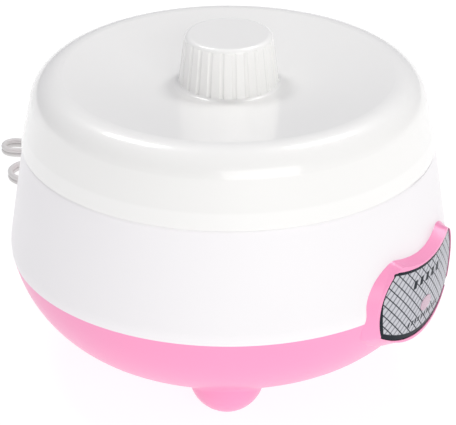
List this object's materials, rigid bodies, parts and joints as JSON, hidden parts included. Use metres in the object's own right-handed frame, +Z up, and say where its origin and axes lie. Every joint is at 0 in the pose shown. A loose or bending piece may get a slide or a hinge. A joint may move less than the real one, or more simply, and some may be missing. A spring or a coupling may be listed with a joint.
{
  "type": "yogurt maker",
  "caption": "Round electric yogurt maker: pink bowl base on ball feet, white body with front panel, steel inner bowl with lid, frosted cover with fluted knob, flat cord.",
  "frame": {"origin": "on the table under the middle of the housing, between the feet", "axes": "+Z up along the housing's axis, -Y towards the front label panel, +Y towards the cord outlet"},
  "size_m": [0.3188, 0.3163, 0.1556],
  "materials": {
    "pink_plastic": "glossy moulded",
    "white_plastic": "glossy moulded",
    "frosted_plastic": "frosted translucent",
    "label_print": "printed satin film",
    "clear_window": "clear tinted",
    "lamp_glass": "clear",
    "nylon": "satin moulded",
    "resistor_body": "lacquered",
    "wire_live": "insulated",
    "wire_neutral": "insulated",
    "wire_lamp": "insulated",
    "aluminium": "spun",
    "steel": "brushed",
    "screw_steel": "zinc plated",
    "ceramic": "film wrapped",
    "mica": "sheet",
    "silicone": "soft",
    "cord_grey": "soft pvc",
    "tie_white": "paper covered",
    "pin_brass": "plated"
  },
  "bodies": {
    "base": {"base_shell": "pink_plastic", "body_shell": "white_plastic", "label_plate": "label_print", "indicator_lens": "clear_window", "indicator_lamp": "lamp_glass", "lamp_holder": "nylon", "lamp_resistor": "resistor_body", "lamp_wires": "wire_lamp", "heating_plate": "aluminium", "plate_seal": "silicone", "plate_screws": "screw_steel", "ptc_heater": "ceramic", "heater_insulator": "mica", "heater_clamp": "steel", "clamp_screws": "screw_steel", "thermal_fuse": "aluminium", "fuse_saddle": "steel", "live_wires": "wire_live", "neutral_wire": "wire_neutral", "wire_caps": "nylon", "cord_tail": "cord_grey", "cord_clamp": "nylon", "cord_clamp_screws": "screw_steel", "strain_relief": "cord_grey", "base_screws": "screw_steel", "cord_lead": "cord_grey", "cord_hank": "cord_grey", "cord_tie": "tie_white", "plug_body": "cord_grey", "plug_pins": "pin_brass"},
    "inner_bowl": {"inner_bowl": "steel"},
    "inner_lid": {"inner_lid": "frosted_plastic", "inner_lid_seal": "silicone"},
    "outer_cover": {"outer_cover": "frosted_plastic"}
  },
  "joints": [
    {"name": "bowl_lift", "type": "slide", "parent": "base", "child": "inner_bowl", "axis": [0, 0, 1], "range_m": [0, 0.09]},
    {"name": "inner_lid_lift", "type": "slide", "parent": "inner_bowl", "child": "inner_lid", "axis": [0, 0, 1], "range_m": [0, 0.04]},
    {"name": "cover_lift", "type": "slide", "parent": "inner_lid", "child": "outer_cover", "axis": [0, 0, 1], "range_m": [0, 0.08]}
  ]
}
